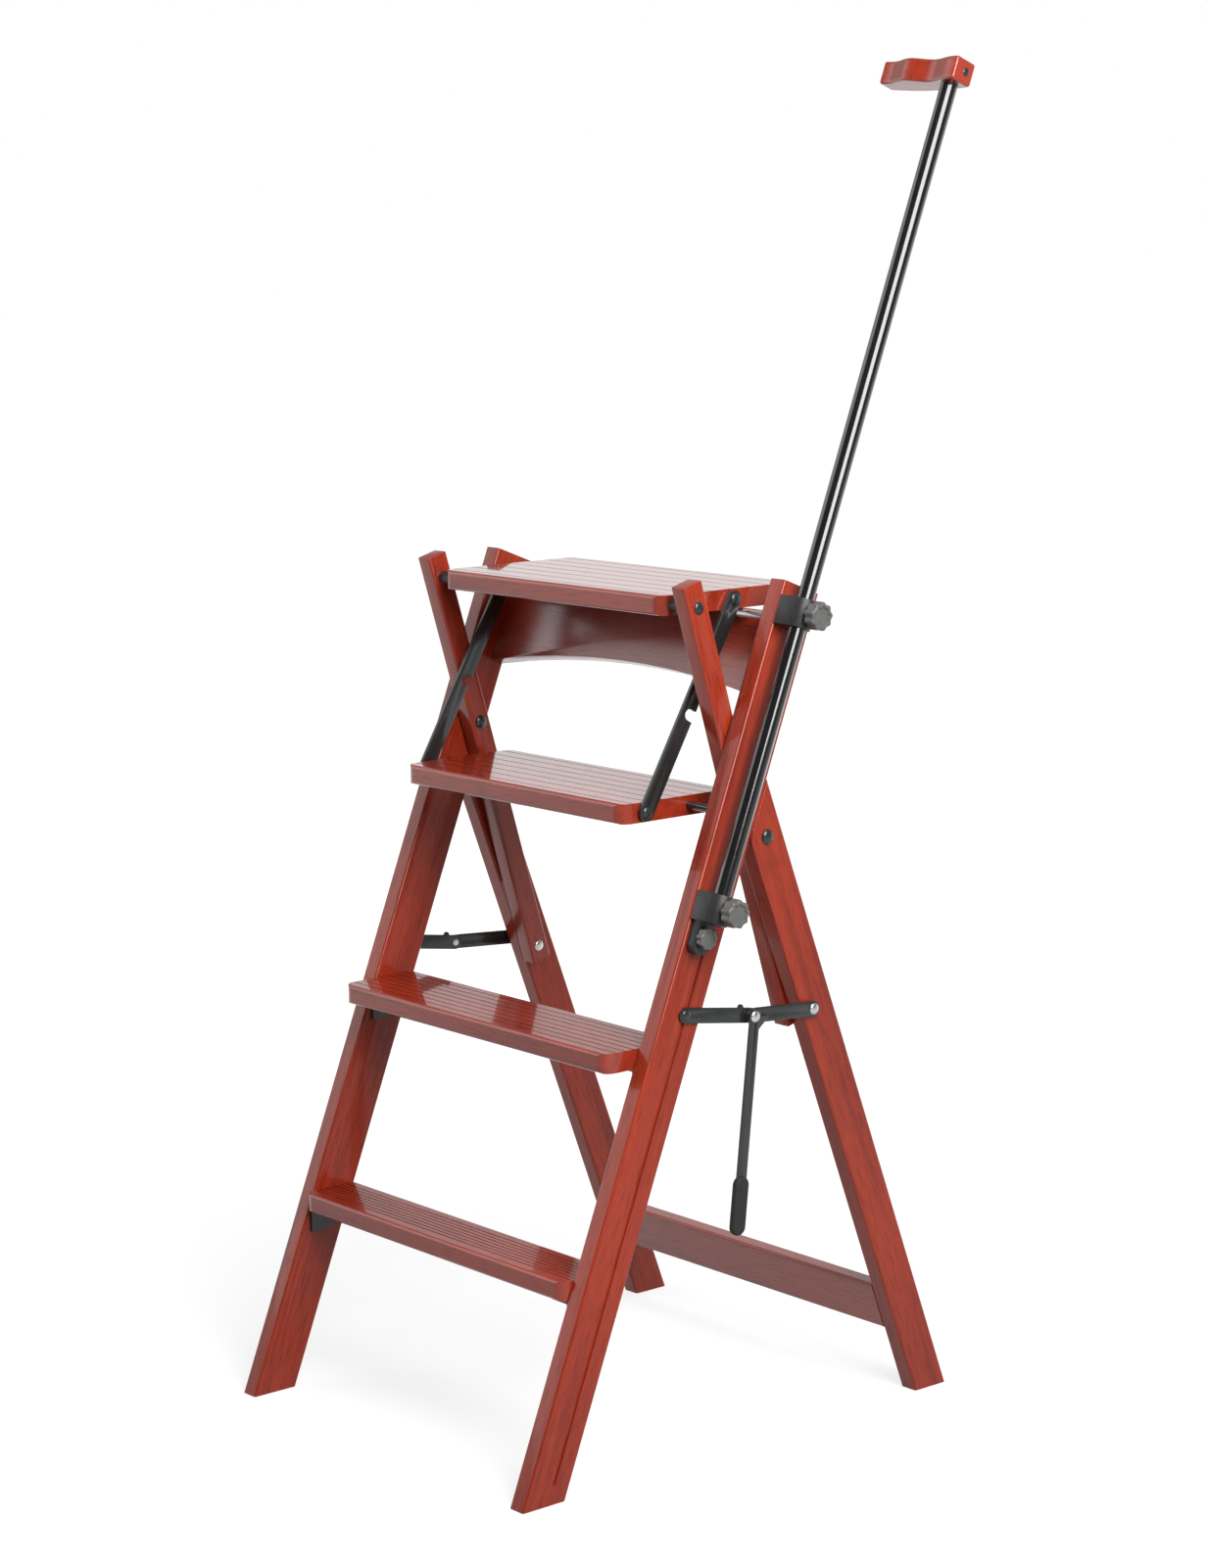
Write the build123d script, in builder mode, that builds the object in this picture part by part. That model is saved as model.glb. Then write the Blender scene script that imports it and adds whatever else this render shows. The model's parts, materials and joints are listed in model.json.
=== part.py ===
"""A wooden stepladder with two fixed treads, a folding third tread and platform, and a handrail pole.

Millimetres, +Z up. The climbing side faces -Y and the ladder's own right is +X.
Side profiles are drawn as (y, z) pairs, with y counted from the front edge of the front feet.
"""
import os
from math import atan2, cos, degrees, radians, sin

from build123d import *

os.makedirs("parts", exist_ok=True)

# Frame
ladder_width = 490.0
stile_thickness = 22.0
stile_depth = 51.0
front_lean = 21.7
rear_depth = 43.0
rear_lean = 20.4
edge_round = 2.5
platform_height = 893.0
pivot_height = 643.0
fold_clearance = 0.5
stop_clearance = 0.3
rear_top_round = 25.0
groove_width = 5.0
groove_cut = 2.0
groove_inset = 29.0
groove_start = 35.0
groove_end_gap = 80.0

# Treads
tread_thickness = 21.0
tread_heights = (218.0, 443.0)
tread_overhangs = (14.0, 44.0)
tread_rear_gap = 1.0
tread_round = 3.5
tread_corner = 14.0
rib_count = 7
rib_width = 1.6
rib_cut = 1.0
rib_margin = 14.0
bracket_length = 54.0
bracket_drop = 25.0
bracket_foot = 20.0
bracket_plate = 3.0
bracket_flange = 26.0
bracket_inset = 2.0

# Folding tread and platform
platform_side_gap = 18.0
platform_depth = 186.0
hinge_setback = 15.0
link_reach = 80.0
tread_3_height = 685.0
tread_3_depth = 148.0
tread_3_pin_inset = 13.5
tread_3_pin_setback = 90.0
tread_3_link_setback = 29.0
link_width = 18.0
link_thickness = 4.0
link_side_gap = 1.5
link_notch_share = 0.46
link_notch_round = 6.0
link_notch_depth = 12.5
pin_radius = 4.0
pin_clearance = 0.05
pin_depth = 30.0
pin_seat = 15.0
pin_head_radius = 6.5
pin_head = 2.5
face_clearance = 0.3
rest_pin_radius = 5.0
rest_pin_inset = 15.0
rest_pin_from_rear = 74.0
rest_pin_reach = 48.0

# Arms that carry the platform
arm_depth = 25.0
arm_thickness = 21.0
arm_gap = 2.0
arm_foot_height = 435.0
arm_top_rise = 13.0
pad_length = 100.0
pad_screw_up = 17.0
pad_screw_head = 1.6
bolt_radius = 4.0
bolt_head_radius = 8.0
bolt_head = 3.5
washer_radius = 10.0

# Apron under the platform and bar across the rear legs
apron_thickness = 18.0
apron_top_gap = 4.0
apron_drop = 93.0
apron_arch_rise = 20.0
rear_bar_low = 73.0
rear_bar_high = 126.0
rear_bar_thickness = 20.0

# Spreaders
spreader_front_along = 521.4
spreader_front_inset = 28.2
spreader_rear_down = 198.0
spreader_rear_inset = -10.0
spreader_sag = 3.5
strap_width = 16.0
strap_thickness = 2.5
strap_gap = 0.4
strap_pin_radius = 3.0
strap_head_radius = 6.0
strap_head = 2.0
strap_screw_depth = 14.0
lug_radius = 3.5
lug_from_mid = 14.0
release_drop = 229.0
release_lean = 6.7
release_width = 13.0
sleeve_length = 62.0
sleeve_width = 18.0
sleeve_thickness = 8.0
gusset_reach = 20.0

# Handrail pole
pole_radius = 9.0
pole_wall = 1.5
pole_inset = 14.0
pole_stand_off = 13.0
pole_foot = 616.0
pole_length = 904.0
clamp_wall = 4.0
clamp_height = 30.0
clamp_above_foot = 16.0
clamp_below_top = 17.0
clamp_half_depth = 14.0
knob_radius = 15.0
knob_length = 14.0
knob_lobes = 6
knob_core_share = 0.82
knob_lobe_share = 0.34
knob_neck = 5.0
knob_round = 1.5
stud_radius = 3.0
lock_knob_radius = 11.5
lock_knob_length = 9.0
lock_knob_drop = 15.0
lock_knob_round = 2.0
tongue_thickness = 12.0
tongue_width = 20.0
tongue_drop = 33.0
grip_length = 114.0
grip_outboard = 19.0
grip_depth = 34.0
grip_height = 25.0
grip_socket = 6.0
grip_round = 3.0
# Shares of the grip's length from its inner end and of its half depth, along the wavy front edge
grip_front_wave = ((0.0, 0.62), (0.16, 0.58), (0.37, 0.95), (0.62, 0.58), (0.86, 0.92), (1.0, 0.96))
grip_rear_end_share = 0.65
grip_screw_radius = 4.5
grip_screw_head = 1.5

half_width = ladder_width / 2
inner_face = half_width - stile_thickness
arm_outer = inner_face - arm_gap
arm_inner = arm_outer - arm_thickness
platform_width = 2 * (arm_inner - platform_side_gap)
tread_3_width = platform_width
front_sin, front_cos = sin(radians(front_lean)), cos(radians(front_lean))
rear_sin, rear_cos = sin(radians(rear_lean)), cos(radians(rear_lean))
fold_angle = front_lean + rear_lean
pole_top = pole_foot + pole_length
clamp_places = (pole_foot + clamp_above_foot, platform_height / front_cos - clamp_below_top)
lock_knob_at = pole_foot - lock_knob_drop
tongue_end = pole_foot - tongue_drop


def on_front(along, inset):
    """Point of the front frame, along its lean and behind its front edge."""
    return (along * front_sin + inset * front_cos, along * front_cos - inset * front_sin)


def front_at_height(height, inset):
    """Point of the front frame at a height above the floor."""
    return on_front((height + inset * front_sin) / front_cos, inset)


fold_inset = stile_depth + rear_depth / 2 + fold_clearance
fold_pivot = front_at_height(pivot_height, fold_inset)


def on_rear(down, inset):
    """Point of the rear frame, down from the fold pivot and behind the legs' middle line."""
    return (fold_pivot[0] + down * rear_sin + inset * rear_cos,
            fold_pivot[1] - down * rear_cos + inset * rear_sin)


def rear_at_height(height, inset):
    return on_rear((pivot_height + inset * rear_sin - height) / rear_cos, inset)


def rear_mitre(inset):
    """Point of the rear leg's top, cut along the front stile's rear edge."""
    free = stile_depth + stop_clearance - fold_inset - inset * cos(radians(fold_angle))
    return on_rear(free / sin(radians(fold_angle)), inset)


# The model stands with the middle of its footprint at the origin
knob_face = half_width + pole_stand_off + 2 * pole_radius + clamp_wall
model_right = knob_face + knob_neck + knob_length
model_left = half_width + strap_thickness * 2 + strap_gap * 2 + strap_head + face_clearance
x_middle = (model_right - model_left) / 2
grip_low = pole_top - grip_socket
grip_half = grip_depth / 2
grip_edge = pole_inset + grip_half - grip_round
grip_back = on_front(grip_low + grip_height - grip_round, grip_edge)[0] + grip_round
y_middle = max(rear_at_height(0, rear_depth / 2)[0], grip_back) / 2


def side_plane(x):
    """Plane across the ladder at x from its middle: sketch x is y, sketch y is z."""
    return Plane(origin=(x - x_middle, -y_middle, 0), x_dir=(0, 1, 0), z_dir=(1, 0, 0))


sides = (("right", 1), ("left", -1))


def layer(sign, inner, outer):
    """Plane of a slab that lies between two distances from the ladder's middle."""
    return side_plane(inner if sign > 0 else -outer)


def slab(sign, inner, outer, outline, holes=()):
    """Extrude an outline of (y, z) points between two distances from the middle."""
    with BuildSketch(layer(sign, inner, outer)) as face:
        with BuildLine():
            Polyline(*outline, close=True)
        make_face()
        for place, radius in holes:
            with Locations(place):
                Circle(radius, mode=Mode.SUBTRACT)
    extrude(face.sketch, amount=outer - inner)


def disc(sign, inner, outer, place, radius, mode=Mode.ADD):
    """Extrude a circle at a (y, z) point between two distances from the middle."""
    with BuildSketch(layer(sign, inner, outer)) as face:
        with Locations(place):
            Circle(radius)
    extrude(face.sketch, amount=outer - inner, mode=mode)


def strip(sign, inner, outer, start, end, width, holes=(), bumps=()):
    """Extrude a round-ended bar from one (y, z) point to another."""
    with BuildSketch(layer(sign, inner, outer)) as face:
        round_bar(start, end, width)
        for place, radius in bumps:
            with Locations(place):
                Circle(radius)
        for place, radius in holes:
            with Locations(place):
                Circle(radius, mode=Mode.SUBTRACT)
    extrude(face.sketch, amount=outer - inner)


def round_bar(start, end, width):
    """Round-ended bar as a sketch: a rectangle between two circles."""
    middle = ((start[0] + end[0]) / 2, (start[1] + end[1]) / 2)
    run = Vector(end[0] - start[0], end[1] - start[1])
    turn = degrees(atan2(run.Y, run.X))
    with Locations(Location((*middle, 0), (0, 0, turn))):
        SlotCenterToCenter(run.length, width)


def save(piece, name):
    piece.label = name
    export_step(piece, f"parts/{name}.step")


def along_axis(lean_sin, lean_cos):
    return Axis((0, 0, 0), (0, lean_sin, lean_cos))


# The platform rests on pins in the stiles
rest_pin_height = platform_height - tread_thickness - rest_pin_radius - face_clearance
rest_pin_at = front_at_height(rest_pin_height, rest_pin_inset)
platform_front = rest_pin_at[0] + rest_pin_from_rear - platform_depth

# Arms run from the platform hinge through the fold pivot
hinge_at = (platform_front + hinge_setback, platform_height - tread_thickness / 2)
arm_run = Vector(fold_pivot[0] - hinge_at[0], fold_pivot[1] - hinge_at[1]).normalized()


def on_arm(down, inset):
    """Point of the arm, down from the platform hinge and behind its middle line."""
    return (hinge_at[0] + down * arm_run.X - inset * arm_run.Y,
            hinge_at[1] + down * arm_run.Y + inset * arm_run.X)


arm_foot = (hinge_at[1] - arm_foot_height) / -arm_run.Y
pad_start = arm_foot - pad_length
# Distance down the arm where it crosses the front stile's middle line
hinge_inset = hinge_at[0] * front_cos - hinge_at[1] * front_sin
crossing = (stile_depth / 2 - hinge_inset) / (arm_run.X * front_cos - arm_run.Y * front_sin)
arm_bolt_at = on_arm(crossing, 0)

tread_3_middle = tread_3_height - tread_thickness / 2
tread_3_pin_at = front_at_height(tread_3_middle, tread_3_pin_inset)
tread_3_front = tread_3_pin_at[0] - tread_3_pin_setback
tread_3_link_at = (tread_3_front + tread_3_link_setback, tread_3_middle)
link_top_at = (hinge_at[0] + link_reach, hinge_at[1])
spreader_front_at = on_front(spreader_front_along, spreader_front_inset)
spreader_rear_at = on_rear(spreader_rear_down, spreader_rear_inset)
spreader_mid_at = ((spreader_front_at[0] + spreader_rear_at[0]) / 2,
                   (spreader_front_at[1] + spreader_rear_at[1]) / 2 - spreader_sag)

strap_front = (half_width + strap_gap, half_width + strap_gap + strap_thickness)
strap_rear = (strap_front[1] + strap_gap, strap_front[1] + strap_gap + strap_thickness)
# The release bar swings past the heads of the rear screws
release_face = strap_rear[1] + strap_head + 2 * face_clearance
strap_release = (release_face, release_face + strap_thickness)
link_layer = (platform_width / 2 + link_side_gap, platform_width / 2 + link_side_gap + link_thickness)

# Front stiles
for side, sign in sides:
    with BuildPart() as stile:
        top_front = front_at_height(platform_height, 0)
        top_rear = front_at_height(platform_height, stile_depth)
        slab(sign, inner_face, half_width,
             [(0, 0), front_at_height(0, stile_depth), top_rear, top_front])
        fillet(stile.edges().filter_by(along_axis(front_sin, front_cos)), edge_round)
        groove_stop = platform_height / front_cos - groove_end_gap
        start, end = on_front(groove_start, groove_inset), on_front(groove_stop, groove_inset)
        with BuildSketch(layer(sign, half_width - groove_cut, half_width)):
            round_bar(start, end, groove_width)
        extrude(amount=groove_cut, mode=Mode.SUBTRACT)
        for place, radius in ((arm_bolt_at, bolt_radius), (tread_3_pin_at, pin_radius),
                              (rest_pin_at, rest_pin_radius)):
            disc(sign, inner_face, inner_face + pin_seat, place, radius, Mode.SUBTRACT)
        disc(sign, half_width - strap_screw_depth, half_width, spreader_front_at, strap_pin_radius,
             Mode.SUBTRACT)
    save(stile.part, f"stile_{side}")


def tread(width, front, depth, top):
    """A ribbed board with rounded edges and corners, across the ladder's middle."""
    with BuildSketch(side_plane(-width / 2)) as face:
        with Locations((front + depth / 2, top - tread_thickness / 2)):
            RectangleRounded(depth, tread_thickness, tread_round)
        step = (depth - 2 * rib_margin) / (rib_count - 1)
        with Locations((front + depth / 2, top - rib_cut / 2)):
            with GridLocations(step, 1, rib_count, 1):
                Rectangle(rib_width, rib_cut, mode=Mode.SUBTRACT)
    extrude(face.sketch, amount=width)
    with BuildSketch(Plane(origin=(-x_middle, front + depth / 2 - y_middle, top - tread_thickness))) as plan:
        RectangleRounded(width, depth, tread_corner)
    extrude(plan.sketch, amount=tread_thickness, mode=Mode.INTERSECT)


# Fixed treads and their brackets
for number, (height, overhang) in enumerate(zip(tread_heights, tread_overhangs), start=1):
    front = front_at_height(height, 0)[0] - overhang
    rear = front_at_height(height, stile_depth)[0] - tread_rear_gap
    with BuildPart() as fixed_tread:
        tread(2 * inner_face, front, rear - front, height)
    save(fixed_tread.part, f"step_{number}")

    under = height - tread_thickness
    back = front_at_height(under, 0)[0] + bracket_inset
    with BuildPart() as brackets:
        for side, sign in sides:
            slab(sign, inner_face - bracket_plate, inner_face,
                 [(back, under), (back + bracket_length, under),
                  (back + bracket_length, under - bracket_plate),
                  (back + bracket_foot, under - bracket_drop), (back, under - bracket_drop)])
            slab(sign, inner_face - bracket_flange, inner_face - bracket_plate,
                 [(back, under - bracket_plate), (back, under), (back + bracket_length, under),
                  (back + bracket_length, under - bracket_plate)])
    save(brackets.part, f"step_{number}_brackets")

# Apron with an arched lower edge, set flush with the stiles' rear edges
apron_plane = Plane(
    origin=(-x_middle, stile_depth * front_cos - y_middle, -stile_depth * front_sin),
    x_dir=(1, 0, 0), z_dir=(0, -front_cos, front_sin))
under_platform = platform_height - tread_thickness - apron_top_gap
apron_top = (under_platform + (stile_depth - apron_thickness) * front_sin) / front_cos
apron_foot = (under_platform - apron_drop + stile_depth * front_sin) / front_cos
with BuildPart() as apron:
    with BuildSketch(apron_plane):
        with BuildLine():
            Polyline((inner_face, apron_foot), (inner_face, apron_top), (-inner_face, apron_top),
                     (-inner_face, apron_foot))
            ThreePointArc((-inner_face, apron_foot), (0, apron_foot + apron_arch_rise),
                          (inner_face, apron_foot))
        make_face()
    extrude(amount=apron_thickness)
save(apron.part, "apron")

# Arms, bolted to the inside of the stiles
for side, sign in sides:
    with BuildPart() as arm:
        with BuildSketch(layer(sign, arm_inner, arm_outer)):
            with BuildLine():
                Polyline(on_arm(-arm_top_rise, -arm_depth / 2), on_arm(arm_foot, -arm_depth / 2),
                         on_arm(arm_foot, arm_depth / 2), on_arm(-arm_top_rise, arm_depth / 2))
                ThreePointArc(on_arm(-arm_top_rise, arm_depth / 2),
                              on_arm(-arm_top_rise - arm_depth / 2, 0),
                              on_arm(-arm_top_rise, -arm_depth / 2))
            make_face()
            with Locations(hinge_at):
                Circle(pin_radius + pin_clearance, mode=Mode.SUBTRACT)
            with Locations(arm_bolt_at, fold_pivot):
                Circle(bolt_radius, mode=Mode.SUBTRACT)
            with Locations(tread_3_pin_at):
                Circle(pin_radius + pin_clearance, mode=Mode.SUBTRACT)
        extrude(amount=arm_thickness)
        fillet(arm.edges().filter_by(along_axis(arm_run.X, arm_run.Y)), edge_round)
    save(arm.part, f"arm_{side}")

with BuildPart() as arm_pads:
    for side, sign in sides:
        slab(sign, arm_outer, inner_face - face_clearance,
             [on_arm(pad_start, -arm_depth / 2), on_arm(arm_foot, -arm_depth / 2),
              on_arm(arm_foot, arm_depth / 2), on_arm(pad_start, arm_depth / 2)])
save(arm_pads.part, "arm_pads")

with BuildPart() as pad_screws:
    for side, sign in sides:
        disc(sign, arm_inner - pad_screw_head, arm_inner, on_arm(arm_foot - pad_screw_up, 0),
             strap_head_radius)
save(pad_screws.part, "arm_pad_screws")

with BuildPart() as arm_bolts:
    for side, sign in sides:
        disc(sign, arm_inner, inner_face + pin_seat, arm_bolt_at, bolt_radius)
        disc(sign, arm_inner - bolt_head, arm_inner, arm_bolt_at, bolt_head_radius)
        disc(sign, arm_outer, inner_face, arm_bolt_at, washer_radius)
save(arm_bolts.part, "arm_bolts")

with BuildPart() as fold_bolts:
    for side, sign in sides:
        disc(sign, arm_inner, half_width + face_clearance, fold_pivot, bolt_radius)
        disc(sign, arm_inner - bolt_head, arm_inner, fold_pivot, bolt_head_radius)
        disc(sign, arm_outer, inner_face - face_clearance, fold_pivot, washer_radius)
        disc(sign, half_width + face_clearance, half_width + face_clearance + bolt_head, fold_pivot,
             bolt_head_radius)
save(fold_bolts.part, "fold_bolts")

with BuildPart() as rest_pins:
    for side, sign in sides:
        disc(sign, inner_face - rest_pin_reach, inner_face + pin_seat, rest_pin_at, rest_pin_radius)
save(rest_pins.part, "platform_rest_pins")

with BuildPart() as tread_3_pins:
    for side, sign in sides:
        disc(sign, tread_3_width / 2 - pin_depth, inner_face + pin_seat, tread_3_pin_at, pin_radius)
save(tread_3_pins.part, "step_3_pins")

# Rear legs, mitred at the top to bear on the stiles, and the bar between them
for side, sign in sides:
    with BuildPart() as leg:
        corner = rear_mitre(-rear_depth / 2)
        slab(sign, inner_face, half_width,
             [rear_at_height(0, -rear_depth / 2), rear_at_height(0, rear_depth / 2),
              rear_mitre(rear_depth / 2), corner],
             [(fold_pivot, bolt_radius + pin_clearance)])
        across = leg.edges().filter_by(Axis.X)
        nearest = across.sort_by_distance((0, corner[0] - y_middle, corner[1]))[0]
        fillet(nearest, rear_top_round)
        fillet(leg.edges().filter_by(along_axis(-rear_sin, rear_cos)), edge_round)
        disc(sign, half_width - strap_screw_depth, half_width, spreader_rear_at, strap_pin_radius,
             Mode.SUBTRACT)
    save(leg.part, f"rear_leg_{side}")

with BuildPart() as rear_bar:
    front_line = -rear_depth / 2
    back_line = front_line + rear_bar_thickness
    with BuildSketch(side_plane(-inner_face)):
        with BuildLine():
            Polyline(rear_at_height(rear_bar_low, front_line), rear_at_height(rear_bar_high, front_line),
                     rear_at_height(rear_bar_high, back_line), rear_at_height(rear_bar_low, back_line),
                     close=True)
        make_face()
    extrude(amount=2 * inner_face)
    fillet(rear_bar.edges().filter_by(Axis.X), edge_round)
save(rear_bar.part, "rear_crossbar")

# Spreader straps: the front ones turn on the stiles, the rear ones on the legs
mid_run = Vector(spreader_front_at[0] - spreader_mid_at[0],
                 spreader_front_at[1] - spreader_mid_at[1]).normalized()
lug_at = (spreader_mid_at[0] + mid_run.X * lug_from_mid + mid_run.Y * strap_width / 2,
          spreader_mid_at[1] + mid_run.Y * lug_from_mid - mid_run.X * strap_width / 2)
strap_bore = strap_pin_radius + pin_clearance
for side, sign in sides:
    with BuildPart() as front_strap:
        strip(sign, *strap_front, spreader_front_at, spreader_mid_at, strap_width,
              [(spreader_front_at, strap_bore)], [(lug_at, lug_radius)])
    save(front_strap.part, f"spreader_front_{side}")

    with BuildPart() as rear_strap:
        strip(sign, *strap_rear, spreader_rear_at, spreader_mid_at, strap_width,
              [(spreader_rear_at, strap_bore), (spreader_mid_at, strap_pin_radius)])
    save(rear_strap.part, f"spreader_rear_{side}")

    rivet_face = strap_release[1] if sign > 0 else strap_rear[1]
    with BuildPart() as rivet:
        disc(sign, strap_rear[0], rivet_face + face_clearance, spreader_mid_at, strap_pin_radius)
        if sign > 0:
            disc(sign, strap_rear[1], strap_release[0] - face_clearance, spreader_mid_at, strap_head_radius)
        disc(sign, rivet_face + face_clearance, rivet_face + face_clearance + strap_head, spreader_mid_at,
             strap_head_radius)
    save(rivet.part, f"spreader_rivet_{side}")

with BuildPart() as front_screws:
    for side, sign in sides:
        disc(sign, half_width - strap_screw_depth, strap_front[1] + face_clearance, spreader_front_at,
             strap_pin_radius)
        disc(sign, strap_front[1] + face_clearance, strap_front[1] + face_clearance + strap_head,
             spreader_front_at, strap_head_radius)
save(front_screws.part, "spreader_front_screws")

with BuildPart() as rear_screws:
    for side, sign in sides:
        disc(sign, half_width - strap_screw_depth, strap_rear[1] + face_clearance, spreader_rear_at,
             strap_pin_radius)
        disc(sign, half_width, strap_rear[0] - face_clearance, spreader_rear_at, strap_head_radius)
        disc(sign, strap_rear[1] + face_clearance, strap_rear[1] + face_clearance + strap_head,
             spreader_rear_at, strap_head_radius)
save(rear_screws.part, "spreader_rear_screws")

# Release bar that hangs from the right-hand spreader's middle rivet
release_run = (-sin(radians(release_lean)), -cos(radians(release_lean)))


def down_release(distance, across=0):
    return (spreader_mid_at[0] + release_run[0] * distance - release_run[1] * across,
            spreader_mid_at[1] + release_run[1] * distance + release_run[0] * across)


sleeve_top = release_drop - sleeve_length
with BuildPart() as release_bar:
    with BuildSketch(layer(1, *strap_release)):
        round_bar(spreader_mid_at, down_release(release_drop - release_width / 2), release_width)
        with Locations(spreader_mid_at):
            Circle(strap_width / 2)
        with BuildLine():
            Polyline(spreader_mid_at, down_release(gusset_reach), down_release(0, gusset_reach), close=True)
        make_face()
        with Locations(spreader_mid_at):
            Circle(strap_bore, mode=Mode.SUBTRACT)
    extrude(amount=strap_thickness)
save(release_bar.part, "release_bar")

with BuildPart() as release_sleeve:
    sleeve_middle = (strap_release[0] + strap_release[1]) / 2
    sleeve_plane = layer(1, sleeve_middle - sleeve_thickness / 2, sleeve_middle)
    with BuildSketch(sleeve_plane):
        round_bar(down_release(sleeve_top + sleeve_width / 2), down_release(release_drop - sleeve_width / 2),
                  sleeve_width)
    extrude(amount=sleeve_thickness)
    ends = release_sleeve.faces().filter_by(Axis.X).edges()
    fillet(ends, edge_round)
    with BuildSketch(layer(1, *strap_release)):
        round_bar(spreader_mid_at, down_release(release_drop - release_width / 2), release_width)
    extrude(amount=strap_thickness, mode=Mode.SUBTRACT)
save(release_sleeve.part, "release_sleeve")

# Platform, hinged on the arms
with BuildPart() as platform:
    tread(platform_width, platform_front, platform_depth, platform_height)
    for side, sign in sides:
        for place in (hinge_at, link_top_at):
            disc(sign, platform_width / 2 - pin_depth, platform_width / 2, place, pin_radius, Mode.SUBTRACT)
save(platform.part, "platform")

with BuildPart() as hinge_pins:
    for side, sign in sides:
        disc(sign, platform_width / 2 - pin_depth, arm_outer + face_clearance, hinge_at, pin_radius)
        disc(sign, arm_outer + face_clearance, arm_outer + face_clearance + pin_head, hinge_at,
             pin_head_radius)
save(hinge_pins.part, "platform_hinge_pins")

with BuildPart() as hinge_spacers:
    for side, sign in sides:
        disc(sign, platform_width / 2, arm_inner - face_clearance, hinge_at, pin_head_radius)
        disc(sign, platform_width / 2, arm_inner - face_clearance, hinge_at, pin_radius, Mode.SUBTRACT)
save(hinge_spacers.part, "platform_hinge_spacers")

with BuildPart() as link_pins:
    for side, sign in sides:
        head_face = link_layer[1] + face_clearance
        disc(sign, platform_width / 2 - pin_depth, head_face, link_top_at, pin_radius)
        disc(sign, platform_width / 2, link_layer[0] - face_clearance, link_top_at, pin_head_radius)
        disc(sign, head_face, head_face + pin_head, link_top_at, pin_head_radius)
save(link_pins.part, "platform_link_pins")

with BuildPart() as tread_3:
    tread(tread_3_width, tread_3_front, tread_3_depth, tread_3_height)
    for side, sign in sides:
        disc(sign, tread_3_width / 2 - pin_depth, tread_3_width / 2, tread_3_pin_at,
             pin_radius + pin_clearance, Mode.SUBTRACT)
save(tread_3.part, "step_3")

# Link bars from the platform to the folding tread, notched to rest on its pins when folded
notch_at = (tread_3_link_at[0] + (link_top_at[0] - tread_3_link_at[0]) * link_notch_share,
            tread_3_link_at[1] + (link_top_at[1] - tread_3_link_at[1]) * link_notch_share)
link_run = Vector(link_top_at[0] - tread_3_link_at[0], link_top_at[1] - tread_3_link_at[1]).normalized()


def beside_link(inset):
    return (notch_at[0] + link_run.Y * inset, notch_at[1] - link_run.X * inset)


for side, sign in sides:
    with BuildPart() as link:
        with BuildSketch(layer(sign, *link_layer)):
            round_bar(tread_3_link_at, link_top_at, link_width)
            with Locations(link_top_at):
                Circle(pin_radius + pin_clearance, mode=Mode.SUBTRACT)
            with Locations(tread_3_link_at):
                Circle(pin_radius, mode=Mode.SUBTRACT)
            notch_bottom = beside_link(link_width / 2 - link_notch_depth + link_notch_round)
            with BuildSketch(mode=Mode.SUBTRACT):
                round_bar(notch_bottom, beside_link(link_width), 2 * link_notch_round)
        extrude(amount=link_thickness)
    save(link.part, f"link_bar_{side}")

    with BuildPart() as link_rivet:
        disc(sign, tread_3_width / 2 + face_clearance, link_layer[1], tread_3_link_at, pin_radius)
        disc(sign, link_layer[1], link_layer[1] + pin_head, tread_3_link_at, pin_head_radius)
    save(link_rivet.part, f"link_rivet_{side}")

# Handrail pole, held beside the right-hand stile by two clamps
pole_x = half_width + pole_stand_off + pole_radius


def across_front(along, inset=0):
    """Plane square to the front frame's lean: sketch x is across the ladder, sketch y towards its rear."""
    y, z = on_front(along, inset)
    return Plane(origin=(-x_middle, y - y_middle, z), x_dir=(1, 0, 0), z_dir=(0, front_sin, front_cos))


for name, place in zip(("lower", "upper"), clamp_places):
    with BuildPart() as clamp:
        with BuildSketch(across_front(place - clamp_height / 2, pole_inset)):
            with Locations(((half_width + pole_x) / 2, 0)):
                Rectangle(pole_x - half_width, 2 * clamp_half_depth)
            with Locations((pole_x, 0)):
                Circle(pole_radius + clamp_wall)
                Circle(pole_radius + pin_clearance, mode=Mode.SUBTRACT)
        extrude(amount=clamp_height)
        if name == "lower":
            tongue_tip = on_front(tongue_end + tongue_width / 2, pole_inset)
            with BuildSketch(layer(1, half_width, half_width + tongue_thickness)):
                round_bar(tongue_tip, on_front(place, pole_inset), tongue_width)
                with Locations(on_front(lock_knob_at, pole_inset)):
                    Circle(stud_radius + pin_clearance, mode=Mode.SUBTRACT)
            extrude(amount=tongue_thickness)
        disc(1, pole_x + pole_radius, knob_face, on_front(place, pole_inset), stud_radius + pin_clearance,
             Mode.SUBTRACT)
    save(clamp.part, f"pole_clamp_{name}")

    knob_at = on_front(place, pole_inset)
    with BuildPart() as knob:
        disc(1, pole_x + pole_radius + face_clearance, knob_face + face_clearance, knob_at, stud_radius)
        disc(1, knob_face + face_clearance, knob_face + knob_neck, knob_at, 2 * stud_radius)
        with BuildSketch(layer(1, knob_face + knob_neck, model_right)):
            with Locations(knob_at):
                Circle(knob_radius * knob_core_share)
                with PolarLocations(knob_radius * (1 - knob_lobe_share), knob_lobes):
                    Circle(knob_radius * knob_lobe_share)
        extrude(amount=knob_length)
        fillet(knob.faces().sort_by(Axis.X)[-1].edges(), knob_round)
    save(knob.part, f"pole_knob_{name}")

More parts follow.
